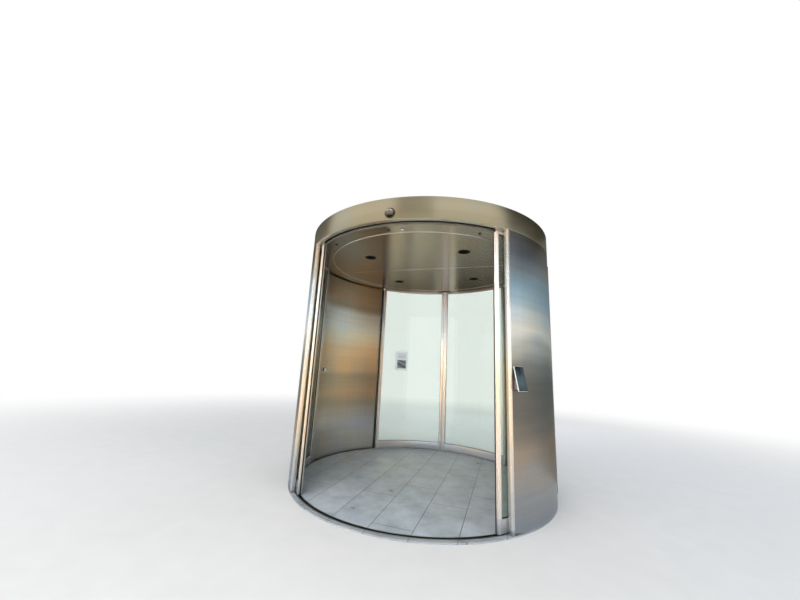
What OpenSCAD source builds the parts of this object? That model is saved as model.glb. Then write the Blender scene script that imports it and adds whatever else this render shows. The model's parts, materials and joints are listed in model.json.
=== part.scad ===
// Round entrance drum with four curved sliding leaves, two to each doorway.
// Millimetres. The origin is the centre of the floor at the drum's underside, +Z up,
// and the street doorway looks along -Y. Angles run from the street doorway's centre
// line, 0 degrees, towards +X, so the inner doorway is centred on 180 degrees.
// The street leaves are drawn open, as they stand at rest, and the inner leaves closed.

/* [Drum] */
// Outside radius of the drum
drum_r = 1400; // [1350:10:1500]
// Thickness of the curved side walls
wall_t = 40; // [36:1:50]
// Thickness of the steel sheet on both faces of a side wall
skin_t = 3; // [1:0.5:5]
// Angle from a doorway's centre line to the end of the side wall
doorway_half = 44.1; // [42:0.1:46]
// Clear height from the floor finish to the ceiling
clear_h = 2430; // [2200:10:2600]
// Width of the rounded end post of a side wall
post_w = 30; // [26:1:40]
// Outer corner radius of an end post
post_round = 14; // [6:1:16]

/* [Floor] */
// Thickness of the guide ring and of the stone on both sides of it
floor_t = 12; // [12:1:20]
// Width of the steel guide ring's lip inside the groove
ring_lip_in = 6; // [5:1:12]
// Width of the steel guide ring's lip outside the groove
ring_lip_out = 14; // [8:1:14]
// Width of the guide groove in the floor ring
groove_w = 20; // [20:1:24]
// Depth of the guide groove
groove_d = 10; // [10:1:11]
// Radius of the four anchor holes under the side walls
anchor_hole_r = 7; // [5:0.5:9]
// Angle of the anchor holes from the street and inner centre lines
anchor_a = 60; // [55:1:70]

/* [Canopy] */
// Height of the fascia band
fascia_h = 210; // [190:5:300]
// Height of the fascia's lower edge above the ceiling
fascia_rise = 20; // [12:1:30]
// Thickness of the folded sheet of fascia, ceiling and roof
sheet_t = 3; // [2:0.5:4]
// Outer radius of the fascia's folded edges
fold_r = 6; // [4:0.5:10]
// Width of the slot that the leaves hang through
slot_w = 30; // [30:1:36]
// Width of the ceiling's outer ring, from the slot to its round joint with the middle
ceiling_ring_w = 157; // [140:1:200]
// Width of the joints between the ceiling panels
ceiling_gap = 2; // [1:0.5:4]
// Height of the roller track above the ceiling
track_rise = 90; // [90:1:100]
// Depth of the roller track
track_h = 70; // [64:1:74]
// Width of the roller track
track_w = 76; // [76:1:80]

/* [Leaves] */
// Depth of the upright stiles of a leaf
stile_t = 38; // [34:1:40]
// Gap between the leaves and the inner face of the side walls
wall_gap = 6; // [5.5:0.5:8]
// Width of the leading stile
lead_stile_w = 33; // [30:1:45]
// Width of the trailing stile
trail_stile_w = 40; // [34:1:50]
// Depth of the bottom rail
rail_t = 32; // [28:1:33]
// Height of the bottom rail
bottom_rail_h = 99; // [80:1:140]
// Depth of the slim top rail, which rises through the slot
top_rail_t = 20; // [18:1:20]
// Height of the top rail that shows below the ceiling
top_rail_drop = 17; // [12:1:40]
// Thickness of the curved glass
glass_t = 10; // [8:0.5:12]
// Depth that the glass enters the frame
glass_bite = 12; // [8:1:14]
// Length of the rubber that stands out of the leading stile
seal_out = 10; // [6:1:14]
// Width of the rubber on the leading stile
seal_w = 16; // [12:1:20]
// Length of the flap on the trailing stile
flap_l = 28; // [20:1:34]
// How far an open leaf's leading edge stands out of its side wall
lead_show = 96; // [60:1:140]

/* [Rollers] */
// Radius of a roller
roller_r = 18; // [14:1:20]
// Width of a roller
roller_w = 11; // [8:1:11]
// Thickness of a carriage plate
carriage_t = 10; // [8:1:10]
// Length of a carriage
carriage_l = 110; // [100:1:140]

/* [Fittings] */
// Distance of the ceiling lamps from the ceiling's round joint
lamp_inset = 400; // [250:5:500]
// Radius of a lamp's opening
lamp_r = 56; // [40:1:65]
// Distance of the presence sensors from the slot
sensor_inset = 85; // [60:1:110]
// Height of the motion sensor's centre above the fascia's lower edge
dome_rise = 62; // [56:1:110]
// Radius of the motion sensor's dome
dome_r = 41; // [30:1:46]
// Thickness of the motion sensor's base plate
dome_base_t = 8; // [5:1:12]
// Centre angle of the card reader on the right side wall
reader_a = 47.9; // [47.9:0.1:70]
// Width of the card reader's slab
reader_w = 104; // [80:1:106]
// Height of the card reader's slab
reader_h = 197; // [150:1:240]
// Thickness of the card reader's slab
reader_t = 12; // [9:1:13]
// Height of the reader's lower edge above the floor
reader_z = 1050; // [900:10:1200]
// How far the slab's lower edge stands out of the wall
reader_out = 60; // [40:1:80]
// Height of the release switch above the floor
switch_z = 1113; // [900:1:1300]
// Angle of the release switch on the left side wall
switch_a = 91.2; // [60:0.1:110]
// Distance of the facade's line behind the drum's axis
facade_y = 195; // [120:5:260]

/* [Hidden] */
$fn = 256;

// Angle in degrees of a length measured along a circle
function arc_deg(length, r) = length / r * 180 / PI;

// Point at a radius and an angle on the plan
function on_plan(r, a) = [r * sin(a), -r * cos(a)];

// Corner points of a rounded turn: centre, radius, first and last angle
function turn(cx, cy, r, a0, a1, steps) = [
    for (i = [0 : steps]) [cx + r * cos(a0 + (a1 - a0) * i / steps), cy + r * sin(a0 + (a1 - a0) * i / steps)]
];

// Outline of a rectangle with rounded corners, centred on the origin
function soft_rect(w, h, r) = concat(
    turn(w / 2 - r, h / 2 - r, r, 0, 90, 4), turn(-w / 2 + r, h / 2 - r, r, 90, 180, 4),
    turn(-w / 2 + r, -h / 2 + r, r, 180, 270, 4), turn(w / 2 - r, -h / 2 + r, r, 270, 360, 4)
);

fit = 0.3;               // free play of a piece in its seat
run_gap = 5;             // free space round what moves
meet_half = 3;           // half of the gap between two closed leaves

wall_in_r = drum_r - wall_t;
leaf_r = wall_in_r - wall_gap - stile_t / 2;
ceiling_z = floor_t + clear_h;
fascia_z = ceiling_z + fascia_rise;
roof_z = fascia_z + fascia_h;
wall_top = fascia_z - fit;
groove_in_r = leaf_r - groove_w / 2;
groove_out_r = leaf_r + groove_w / 2;
ring_in_r = groove_in_r - ring_lip_in;
ring_out_r = groove_out_r + ring_lip_out;
slot_in_r = leaf_r - slot_w / 2;
slot_out_r = leaf_r + slot_w / 2;
ceiling_joint_r = slot_in_r - ceiling_ring_w;
lamp_ring_r = ceiling_joint_r - lamp_inset;
sensor_ring_r = slot_in_r - sensor_inset;
post_a = arc_deg(post_w, drum_r);
wall_a0 = doorway_half + post_a + arc_deg(fit, drum_r);
wall_a1 = 180 - wall_a0;

lead_a = arc_deg(meet_half, leaf_r);
open_a = doorway_half - arc_deg(lead_show, leaf_r);
travel = open_a - lead_a;

track_z = ceiling_z + track_rise;
track_top = track_z + track_h;
deck_t = 6;
lip_h = 18;              // height of the folded edges beside the slot
return_w = 20;           // width of the fold round the roof's edge
ledge_w = 23;            // width of the ledge that carries the ceiling's middle

// Sweeps a profile drawn in radius and height from angle a0 to a1
module arc_sweep(a0, a1) {
    rotate([0, 0, a0 - 90])
        rotate_extrude(angle = a1 - a0)
            children();
}

// Curved bar of rectangular section
module arc_bar(r0, r1, z0, z1, a0, a1) {
    arc_sweep(a0, a1)
        translate([r0, z0])
            square([r1 - r0, z1 - z0]);
}

// Puts a piece at an angle, its own X pointing away from the drum's axis
module at_angle(a, r = 0, z = 0) {
    rotate([0, 0, a - 90])
        translate([r, 0, z])
            children();
}

// Steel ring let into the stone, with the groove that guides the leaves
module floor_ring() {
    groove_z = floor_t - groove_d;
    color("dimgray")
        rotate_extrude()
            polygon([
                [ring_in_r, 0], [ring_out_r, 0], [ring_out_r, floor_t], [groove_out_r, floor_t],
                [groove_out_r, groove_z], [groove_in_r, groove_z], [groove_in_r, floor_t],
                [ring_in_r, floor_t]
            ]);
}

// The four anchor holes, or the pockets above them
module anchor_holes(z0, z1, r) {
    for (a = [anchor_a, 180 - anchor_a, 180 + anchor_a, 360 - anchor_a])
        at_angle(a, drum_r - wall_t / 2, z0)
            cylinder(r = r, h = z1 - z0, $fn = 72);
}

// Stone floor inside the guide ring
module floor_paving() {
    color("darkgray")
        cylinder(r = ring_in_r - fit, h = floor_t);
}

// Stone rim outside the guide ring, which the side walls stand on
module floor_rim() {
    color("darkgray")
        difference() {
            cylinder(r = drum_r, h = floor_t);
            translate([0, 0, -1])
                cylinder(r = ring_out_r + fit, h = floor_t + 2);
            anchor_holes(-1, floor_t + 1, anchor_hole_r);
        }
}

// Insulated core of a side wall, on the +X side
module wall_core() {
    anchor_pocket_r = anchor_hole_r + 5;
    anchor_pocket_h = 60;
    difference() {
        arc_bar(wall_in_r + skin_t, drum_r - skin_t, floor_t, wall_top, wall_a0, wall_a1);
        anchor_holes(floor_t - 1, floor_t + anchor_pocket_h, anchor_pocket_r);
    }
}

// Brushed sheet on the outside of a side wall
module wall_outer_skin() {
    arc_bar(drum_r - skin_t, drum_r, floor_t, wall_top, wall_a0, wall_a1);
}

// Brushed sheet on the inside of a side wall
module wall_inner_skin() {
    arc_bar(wall_in_r, wall_in_r + skin_t, floor_t, wall_top, wall_a0, wall_a1);
}

module left_wall_core() {
    color("gainsboro") mirror([1, 0, 0]) wall_core();
}

module right_wall_core() {
    color("gainsboro") wall_core();
}

module left_wall_outer_skin() {
    color("silver") mirror([1, 0, 0]) wall_outer_skin();
}

module right_wall_outer_skin() {
    color("silver") wall_outer_skin();
}

module left_wall_inner_skin() {
    color("silver") mirror([1, 0, 0]) wall_inner_skin();
}

module right_wall_inner_skin() {
    color("silver") wall_inner_skin();
}

// Folded end post of a side wall, with a well rounded outer corner
module end_post() {
    inner_round = 4;
    outer_turn = turn(drum_r - post_round, post_round, post_round, -90, 0, 8);
    inner_turn = turn(wall_in_r + inner_round, inner_round, inner_round, 180, 270, 4);
    rear = [[drum_r, post_w], [wall_in_r, post_w * wall_in_r / drum_r]];
    bent = [
        for (p = concat(inner_turn, outer_turn, rear))
            on_plan(p[0], doorway_half + arc_deg(p[1], p[0]))
    ];
    translate([0, 0, floor_t])
        linear_extrude(wall_top - floor_t)
            polygon(bent);
}

module front_right_post() {
    color("lightgray") end_post();
}

module front_left_post() {
    color("lightgray") mirror([1, 0, 0]) end_post();
}

module back_right_post() {
    color("lightgray") mirror([0, 1, 0]) end_post();
}

module back_left_post() {
    color("lightgray") rotate([0, 0, 180]) end_post();
}

// Half of the fascia: lip with folded edge, tall face and return round the roof
module fascia_half(a0) {
    t = sheet_t;
    bend_steps = 4;
    bend_r = drum_r - fold_r;
    foot_out = turn(bend_r, fascia_z + fold_r, fold_r, -90, 0, bend_steps);
    head_out = turn(bend_r, roof_z - fold_r, fold_r, 0, 90, bend_steps);
    head_in = turn(bend_r, roof_z - fold_r, fold_r - t, 90, 0, bend_steps);
    foot_in = turn(bend_r, fascia_z + fold_r, fold_r - t, 0, -90, bend_steps);
    arc_sweep(a0, a0 + 180)
        polygon(concat(
            [[slot_out_r, fascia_z]], foot_out, head_out,
            [[drum_r - return_w, roof_z], [drum_r - return_w, roof_z - t]], head_in, foot_in,
            [[slot_out_r + t, fascia_z + t], [slot_out_r + t, fascia_z + lip_h],
            [slot_out_r, fascia_z + lip_h]]
        ));
}

module front_fascia() {
    color("tan") fascia_half(-90);
}

module back_fascia() {
    color("tan") fascia_half(90);
}

// Ring beam on the fascia's lip, with the deck that carries track and ceiling
module canopy_frame() {
    web_t = 10;
    web_r1 = drum_r - fold_r - fit;
    web_r0 = web_r1 - web_t;
    deck_r0 = ceiling_joint_r - ledge_w;
    beam_w = 50;
    beam_top = roof_z - 2 * sheet_t;
    beam_y = 420;
    color("slategray") {
        rotate_extrude()
            polygon([
                [web_r0, fascia_z + sheet_t], [web_r1, fascia_z + sheet_t], [web_r1, beam_top],
                [web_r0, beam_top], [web_r0, track_top + deck_t], [deck_r0, track_top + deck_t],
                [deck_r0, track_top], [web_r0, track_top]
            ]);
        intersection() {
            union() {
                for (s = [-1, 1])
                    translate([-drum_r, s * beam_y - beam_w / 2, track_top + deck_t / 2])
                        cube([2 * drum_r, beam_w, beam_top - track_top - deck_t / 2]);
                for (s = [-1, 1])
                    translate([s * beam_y - beam_w / 2, -drum_r, track_top + deck_t / 2])
                        cube([beam_w, 2 * drum_r, beam_top - track_top - deck_t / 2]);
            }
            cylinder(r = web_r0 + web_t / 2, h = roof_z);
        }
    }
}

// C-section ring that the carriages run in
module overhead_track() {
    t = sheet_t;
    r0 = leaf_r - track_w / 2;
    r1 = leaf_r + track_w / 2;
    color("gainsboro")
        rotate_extrude()
            polygon([
                [r0, track_z], [slot_in_r, track_z], [slot_in_r, track_z + t], [r0 + t, track_z + t],
                [r0 + t, track_top - t], [r1 - t, track_top - t], [r1 - t, track_z + t],
                [slot_out_r, track_z + t], [slot_out_r, track_z], [r1, track_z], [r1, track_top],
                [r0, track_top]
            ]);
}

// Flat dust cover under the fascia's return
module roof_lid() {
    color("dimgray")
        translate([0, 0, roof_z - 2 * sheet_t])
            cylinder(r = drum_r - fold_r - fit, h = sheet_t);
}

// Outer ring of the ceiling: folded edge at the slot, web up to the deck and inner ledge
module ceiling_ring() {
    t = sheet_t;
    j = ceiling_joint_r;
    color("silver")
        rotate_extrude()
            polygon([
                [j, ceiling_z], [slot_in_r, ceiling_z], [slot_in_r, ceiling_z + lip_h],
                [slot_in_r - t, ceiling_z + lip_h], [slot_in_r - t, ceiling_z + t],
                [j + 2 * t, ceiling_z + t], [j + 2 * t, track_top], [j + t, track_top],
                [j + t, ceiling_z + 2 * t], [j - ledge_w, ceiling_z + 2 * t],
                [j - ledge_w, ceiling_z + t], [j, ceiling_z + t]
            ]);
}

// Half of the ceiling's middle: a pan with a folded edge along the joint
module ceiling_half() {
    r = ceiling_joint_r - ceiling_gap;
    fold_h = 25;
    fold_l = 2 * (ceiling_joint_r - ledge_w - run_gap);
    difference() {
        translate([0, 0, ceiling_z])
            cylinder(r = r, h = sheet_t);
        translate([-drum_r, -ceiling_gap / 2, ceiling_z - 1])
            cube([2 * drum_r, drum_r, sheet_t + 2]);
        for (s = [-1, 1])
            at_angle(s * 45, lamp_ring_r, ceiling_z - 1)
                cylinder(r = lamp_r, h = sheet_t + 2, $fn = 96);
    }
    translate([-fold_l / 2, -ceiling_gap / 2 - sheet_t, ceiling_z + sheet_t / 2])
        cube([fold_l, sheet_t, fold_h]);
}

module front_ceiling() {
    color("silver") ceiling_half();
}

module back_ceiling() {
    color("silver") rotate([0, 0, 180]) ceiling_half();
}

// Recessed lamps: a deep black can hung from a flange on the ceiling
module downlights() {
    can_r = lamp_r - fit;
    can_t = 2;
    can_h = 70;
    flange_w = 12;
    z = ceiling_z + sheet_t;
    color("black")
        for (a = [45, 135, 225, 315])
            at_angle(a, lamp_ring_r)
                rotate_extrude($fn = 96)
                    polygon([
                        [0, z + can_h - can_t], [can_r - can_t, z + can_h - can_t],
                        [can_r - can_t, ceiling_z], [can_r, ceiling_z], [can_r, z],
                        [can_r + flange_w, z], [can_r + flange_w, z + can_t], [can_r, z + can_t],
                        [can_r, z + can_h], [0, z + can_h]
                    ]);
}

// Small round sensors in the outer ring, and the long one above the inner leaves
module presence_sensors() {
    button_r = 16;
    button_h = 5;
    bar_l = 210;
    bar_w = 52;
    bar_h = 14;
    color("black") {
        for (a = [-36.7, -3.2, 3.2, 36.7, 143.3, 216.7])
            at_angle(a, sensor_ring_r, ceiling_z - button_h)
                cylinder(r = button_r, h = button_h, $fn = 72);
        at_angle(180, sensor_ring_r, ceiling_z - bar_h)
            linear_extrude(bar_h)
                polygon(soft_rect(bar_w, bar_l, bar_w / 2 - 1));
    }
}

// Round base plates of the motion sensors, cut to the fascia's curve
module motion_sensor_bases() {
    rim_w = 7;
    color("silver")
        for (a = [0, 180])
            difference() {
                at_angle(a, drum_r - sheet_t, fascia_z + dome_rise)
                    rotate([0, 90, 0])
                        cylinder(r = dome_r + rim_w, h = sheet_t + dome_base_t, $fn = 96);
                translate([0, 0, fascia_z])
                    cylinder(r = drum_r + fit, h = fascia_h);
            }
}

// Dark half-round domes on the base plates
module motion_sensor_domes() {
    color("darkslategray")
        for (a = [0, 180])
            at_angle(a, drum_r + dome_base_t, fascia_z + dome_rise)
                difference() {
                    sphere(r = dome_r, $fn = 96);
                    translate([-2 * dome_r, -dome_r - 1, -dome_r - 1])
                        cube([2 * dome_r, 2 * dome_r + 2, 2 * dome_r + 2]);
                }
}

// Card reader on the right side wall: a slim slab that leans out at its foot, with a dark
// glass let into its front and a narrower wedge behind it
reader_top_out = 13;     // how far the slab's upper edge stands out of the wall
reader_glass_t = 4;
reader_rim = 2;          // bare edge of the slab round the glass
wedge_inset = 12;        // how far the wedge stays inside the slab's edges

// Point behind the reader's sloping front: a share of the way up and a depth
function on_slope(share, depth) =
    let (dr = reader_top_out - reader_out, l = sqrt(dr * dr + reader_h * reader_h))
    [drum_r + reader_out + dr * share - depth * reader_h / l,
     reader_z + floor_t + reader_h * share + depth * dr / l];

// Upright outline given in radius and height, made into a piece of a width
module reader_piece(w, outline) {
    at_angle(reader_a)
        translate([0, w / 2, 0])
            rotate([90, 0, 0])
                linear_extrude(w)
                    polygon(outline);
}

module card_reader_body() {
    foot = reader_z + floor_t;
    edge = wedge_inset / reader_h;
    slab_z = reader_glass_t + fit;
    color("silver") {
        reader_piece(reader_w, [
            on_slope(0, slab_z), on_slope(1, slab_z), on_slope(1, reader_t), on_slope(0, reader_t)
        ]);
        difference() {
            reader_piece(reader_w - 2 * wedge_inset, [
                [drum_r - 5, foot + wedge_inset], on_slope(edge, reader_t - 1),
                on_slope(1 - edge, reader_t - 1), [drum_r - 5, foot + reader_h - wedge_inset]
            ]);
            translate([0, 0, foot - 1])
                cylinder(r = drum_r + fit, h = reader_h + 2);
        }
    }
}

module card_reader_face() {
    edge = reader_rim / reader_h;
    color("black")
        reader_piece(reader_w - 2 * reader_rim, [
            on_slope(edge, 0), on_slope(1 - edge, 0),
            on_slope(1 - edge, reader_glass_t), on_slope(edge, reader_glass_t)
        ]);
}

// Round release switch on the left wall: plate, collar and push knob
module release_switch() {
    plate_r = 38;
    plate_t = 6;
    knob_r = 30;
    knob_out = 30;
    color("gray")
        intersection() {
            at_angle(-switch_a, wall_in_r + 2, switch_z + floor_t)
                rotate([0, -90, 0])
                    rotate_extrude($fn = 96)
                        polygon([
                            [0, 0], [plate_r, 0], [plate_r, plate_t], [knob_r - 8, plate_t + 2],
                            [knob_r - 8, plate_t + 10], [knob_r, plate_t + 14], [knob_r, knob_out - 2],
                            [knob_r - 3, knob_out + 2], [0, knob_out + 2]
                        ]);
            translate([0, 0, floor_t])
                cylinder(r = wall_in_r - fit, h = clear_h);
        }
}

// Upright channel that takes the edge of a glazed front beside the drum
module facade_channel() {
    pocket_w = 32;
    pocket_d = 30;
    side_t = 4;
    out_x = drum_r + 36;
    outer_w = pocket_w + 2 * side_t;
    h = wall_top - floor_t;
    difference() {
        translate([0, facade_y - outer_w / 2, floor_t])
            cube([out_x, outer_w, h]);
        translate([0, 0, floor_t - 1])
            cylinder(r = drum_r + fit, h = h + 2);
        translate([out_x - pocket_d, facade_y - pocket_w / 2, floor_t - 1])
            cube([pocket_d + 1, pocket_w, h + 2]);
    }
}

module facade_channels() {
    color("gray") {
        facade_channel();
        mirror([1, 0, 0]) facade_channel();
    }
}

// One leaf, drawn closed on the street side with its leading edge at the centre line
stile_z = floor_t + run_gap;
stile_top = ceiling_z - run_gap;
rail_z = stile_z + 1;
rail_top = rail_z + bottom_rail_h;
top_rail_z = ceiling_z - top_rail_drop;
top_rail_top = track_z - 2 * run_gap;
lead_mid = lead_a + arc_deg(seal_out + lead_stile_w / 2, leaf_r);
trail_mid = doorway_half - arc_deg(trail_stile_w / 2, leaf_r);
glass_a0 = lead_mid + arc_deg(lead_stile_w / 2 - glass_bite, leaf_r);
glass_a1 = trail_mid - arc_deg(trail_stile_w / 2 - glass_bite, leaf_r);
glass_z0 = rail_top - glass_bite;
glass_z1 = top_rail_z + glass_bite;
seal_root = 5;           // depth of the recess that holds the leading rubber
shoe_l = 60;
shoe_a = [8, 38];        // angles of the two floor guides along a leaf
carriage_a = [10, 35];   // angles of the two carriages along a leaf

// Upright profile of a leaf, straight and with soft corners
module stile(a, w) {
    at_angle(a, leaf_r, stile_z)
        linear_extrude(stile_top - stile_z)
            polygon(soft_rect(stile_t, w, 3));
}

module leaf_frame() {
    shoe_t = groove_w - 2 * run_gap;
    shoe_z = floor_t - groove_d + run_gap;
    difference() {
        union() {
            stile(lead_mid, lead_stile_w);
            stile(trail_mid, trail_stile_w);
            arc_bar(leaf_r - rail_t / 2, leaf_r + rail_t / 2, rail_z, rail_top, lead_mid, trail_mid);
            arc_bar(leaf_r - top_rail_t / 2, leaf_r + top_rail_t / 2, top_rail_z, top_rail_top,
                lead_mid, trail_mid);
            for (a = shoe_a)
                at_angle(a, leaf_r - shoe_t / 2, shoe_z)
                    translate([0, -shoe_l / 2, 0])
                        cube([shoe_t, shoe_l, rail_z + 2 - shoe_z]);
        }
        arc_bar(leaf_r - glass_t / 2 - fit, leaf_r + glass_t / 2 + fit, glass_z0, glass_z1 + fit,
            glass_a0 - arc_deg(fit, leaf_r), glass_a1 + arc_deg(fit, leaf_r));
        at_angle(lead_mid, leaf_r - seal_w / 2, stile_z - 1)
            translate([0, -lead_stile_w / 2 - 1, 0])
                cube([seal_w, seal_root + 1, stile_top - stile_z + 2]);
    }
}

module leaf_glass() {
    arc_bar(leaf_r - glass_t / 2, leaf_r + glass_t / 2, glass_z0, glass_z1, glass_a0, glass_a1);
}

module leaf_seals() {
    flap_t = 6;
    nose = seal_out + seal_root;
    at_angle(lead_mid, leaf_r, stile_z)
        translate([0, -lead_stile_w / 2 + seal_root - nose / 2, 0])
            linear_extrude(stile_top - stile_z)
                polygon(soft_rect(seal_w - 2 * fit, nose, 3));
    at_angle(trail_mid, leaf_r + stile_t / 2 - flap_t - 2, stile_z)
        translate([0, trail_stile_w / 2, 0])
            cube([flap_t, flap_l, stile_top - stile_z]);
}

// Two carriages: foot on the top rail, plate up into the track, four rollers each
module leaf_carriages() {
    axle_r = 6;
    axle_step = 60;
    axle_z = track_z + sheet_t + fit + roller_r;
    axle_half = track_w / 2 - sheet_t - run_gap;
    foot_h = run_gap;
    for (a = carriage_a) {
        da = arc_deg(carriage_l / 2, leaf_r);
        arc_bar(leaf_r - top_rail_t / 2, leaf_r + top_rail_t / 2, top_rail_top, top_rail_top + foot_h,
            a - da, a + da);
        arc_bar(leaf_r - carriage_t / 2, leaf_r + carriage_t / 2, top_rail_top, axle_z + roller_r,
            a - da, a + da);
        for (s = [-1, 1])
            at_angle(a + s * arc_deg(axle_step / 2, leaf_r), leaf_r, axle_z)
                rotate([0, 90, 0]) {
                    translate([0, 0, -axle_half])
                        cylinder(r = axle_r, h = 2 * axle_half, $fn = 72);
                    for (z = [-axle_half, axle_half - roller_w])
                        translate([0, 0, z])
                            cylinder(r = roller_r, h = roller_w, $fn = 96);
                }
    }
}

// Places a leaf that is drawn closed on the street side, right of the centre line
module place_front_right() {
    rotate([0, 0, travel]) children();
}

module place_front_left() {
    mirror([1, 0, 0]) rotate([0, 0, travel]) children();
}

module place_back_right() {
    mirror([0, 1, 0]) children();
}

module place_back_left() {
    rotate([0, 0, 180]) children();
}

module front_left_leaf_frame() {
    color("whitesmoke") place_front_left() leaf_frame();
}

module front_left_leaf_glass() {
    color("lightcyan", 0.4) place_front_left() leaf_glass();
}

module front_left_leaf_seals() {
    color("black") place_front_left() leaf_seals();
}

module front_left_leaf_carriages() {
    color("slategray") place_front_left() leaf_carriages();
}

module front_right_leaf_frame() {
    color("whitesmoke") place_front_right() leaf_frame();
}

module front_right_leaf_glass() {
    color("lightcyan", 0.4) place_front_right() leaf_glass();
}

module front_right_leaf_seals() {
    color("black") place_front_right() leaf_seals();
}

module front_right_leaf_carriages() {
    color("slategray") place_front_right() leaf_carriages();
}

module back_left_leaf_frame() {
    color("whitesmoke") place_back_left() leaf_frame();
}

module back_left_leaf_glass() {
    color("lightcyan", 0.4) place_back_left() leaf_glass();
}

module back_left_leaf_seals() {
    color("black") place_back_left() leaf_seals();
}

module back_left_leaf_carriages() {
    color("slategray") place_back_left() leaf_carriages();
}

module back_right_leaf_frame() {
    color("whitesmoke") place_back_right() leaf_frame();
}

module back_right_leaf_glass() {
    color("lightcyan", 0.4) place_back_right() leaf_glass();
}

module back_right_leaf_seals() {
    color("black") place_back_right() leaf_seals();
}

module back_right_leaf_carriages() {
    color("slategray") place_back_right() leaf_carriages();
}

floor_ring();
floor_paving();
floor_rim();
left_wall_core();
left_wall_outer_skin();
left_wall_inner_skin();
right_wall_core();
right_wall_outer_skin();
right_wall_inner_skin();
front_left_post();
front_right_post();
back_left_post();
back_right_post();
front_fascia();
back_fascia();
canopy_frame();
overhead_track();
roof_lid();
ceiling_ring();
front_ceiling();
back_ceiling();
downlights();
presence_sensors();
motion_sensor_bases();
motion_sensor_domes();
card_reader_body();
card_reader_face();
release_switch();
facade_channels();
front_left_leaf_frame();
front_left_leaf_glass();
front_left_leaf_seals();
front_left_leaf_carriages();
front_right_leaf_frame();
front_right_leaf_glass();
front_right_leaf_seals();
front_right_leaf_carriages();
back_left_leaf_frame();
back_left_leaf_glass();
back_left_leaf_seals();
back_left_leaf_carriages();
back_right_leaf_frame();
back_right_leaf_glass();
back_right_leaf_seals();
back_right_leaf_carriages();
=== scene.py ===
import json
import math

import bpy
from mathutils import Matrix, Vector


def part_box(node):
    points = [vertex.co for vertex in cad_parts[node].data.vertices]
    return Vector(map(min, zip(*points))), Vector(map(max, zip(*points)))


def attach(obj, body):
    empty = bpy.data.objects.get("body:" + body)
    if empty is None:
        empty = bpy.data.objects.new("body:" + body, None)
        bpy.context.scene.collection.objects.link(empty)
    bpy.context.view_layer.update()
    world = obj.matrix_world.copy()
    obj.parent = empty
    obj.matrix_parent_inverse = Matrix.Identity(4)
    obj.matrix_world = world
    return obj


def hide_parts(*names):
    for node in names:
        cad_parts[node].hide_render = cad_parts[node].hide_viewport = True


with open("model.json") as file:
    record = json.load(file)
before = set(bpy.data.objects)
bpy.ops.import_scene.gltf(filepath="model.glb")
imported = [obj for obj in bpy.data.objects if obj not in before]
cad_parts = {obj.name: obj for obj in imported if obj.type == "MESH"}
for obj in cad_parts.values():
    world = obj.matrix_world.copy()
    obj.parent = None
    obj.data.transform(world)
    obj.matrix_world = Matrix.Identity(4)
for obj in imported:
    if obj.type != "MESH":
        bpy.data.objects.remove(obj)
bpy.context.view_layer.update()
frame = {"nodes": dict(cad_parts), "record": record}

# Camera
# Stands close to the front doorway, a little to its right and at chest height, with a
# wide lens that looks slightly up and leans a little, as the photograph was taken.
camera_place = Vector((0.9591, -3.8712, 1.202))
camera_turn = math.radians(18.46)
camera_climb = math.radians(11.69)
camera_lean = math.radians(2.91)
level = Vector((-math.sin(camera_turn), math.cos(camera_turn), 0))
side = Vector((math.cos(camera_turn), math.sin(camera_turn), 0))
forward = level * math.cos(camera_climb) + Vector((0, 0, math.sin(camera_climb)))
above = Vector((0, 0, math.cos(camera_climb))) - level * math.sin(camera_climb)
right = side * math.cos(camera_lean) + above * math.sin(camera_lean)
upward = above * math.cos(camera_lean) - side * math.sin(camera_lean)
camera_data = bpy.data.cameras.new("camera")
camera_data.sensor_width = 36
camera_data.lens = 14.65
camera_data.sensor_fit = "HORIZONTAL"
camera_data.clip_end = 200
camera = bpy.data.objects.new("camera", camera_data)
facing = Matrix((right, upward, -forward)).transposed().to_4x4()
camera.matrix_world = Matrix.Translation(camera_place) @ facing
bpy.context.scene.collection.objects.link(camera)
bpy.context.scene.camera = camera
bpy.context.scene.view_settings.view_transform = "Standard"

# Studio
# Soft light from large panels and a pale backdrop, all close to neutral, and one narrow beam
# into the doorway. The camera, the metal and the glass see the backdrop as plain white.


def linear(code):
    """Turns an sRGB hex colour into the linear colour that Blender works in."""
    parts = [int(code[i:i + 2], 16) / 255 for i in (1, 3, 5)]
    return [p / 12.92 if p <= 0.04045 else ((p + 0.055) / 1.055) ** 2.4 for p in parts] + [1.0]


def add(tree, kind, inputs=None, **settings):
    """Adds a node: an input that is a socket is linked, any other input is set."""
    node = tree.nodes.new(kind)
    for name, value in settings.items():
        setattr(node, name, value)
    for name, value in (inputs or {}).items():
        if isinstance(value, bpy.types.NodeSocket):
            tree.links.new(value, node.inputs[name])
        else:
            node.inputs[name].default_value = value
    return node


world = bpy.data.worlds.new("studio_sky")
bpy.context.scene.world = world
world.use_nodes = True
world.node_tree.nodes.clear()


def sees_backdrop(tree):
    """1 for the camera and for what metal and glass show of the backdrop, otherwise 0."""
    rays = add(tree, "ShaderNodeLightPath").outputs
    seen = add(tree, "ShaderNodeMath", {
        0: rays["Is Camera Ray"], 1: rays["Is Glossy Ray"]}, operation="MAXIMUM")
    seen = add(tree, "ShaderNodeMath", {
        0: seen.outputs[0], 1: rays["Is Transmission Ray"]}, operation="MAXIMUM")
    return seen.outputs[0]


tree = world.node_tree
sky_light = add(tree, "ShaderNodeBackground", {"Color": linear("#f2f5f8"), "Strength": 0.9})
sky_seen = add(tree, "ShaderNodeBackground", {"Color": (1, 1, 1, 1), "Strength": 1.0})
sky = add(tree, "ShaderNodeMixShader", {
    0: sees_backdrop(tree), 1: sky_light.outputs[0], 2: sky_seen.outputs[0]})
add(tree, "ShaderNodeOutputWorld", {"Surface": sky.outputs[0]})


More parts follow.
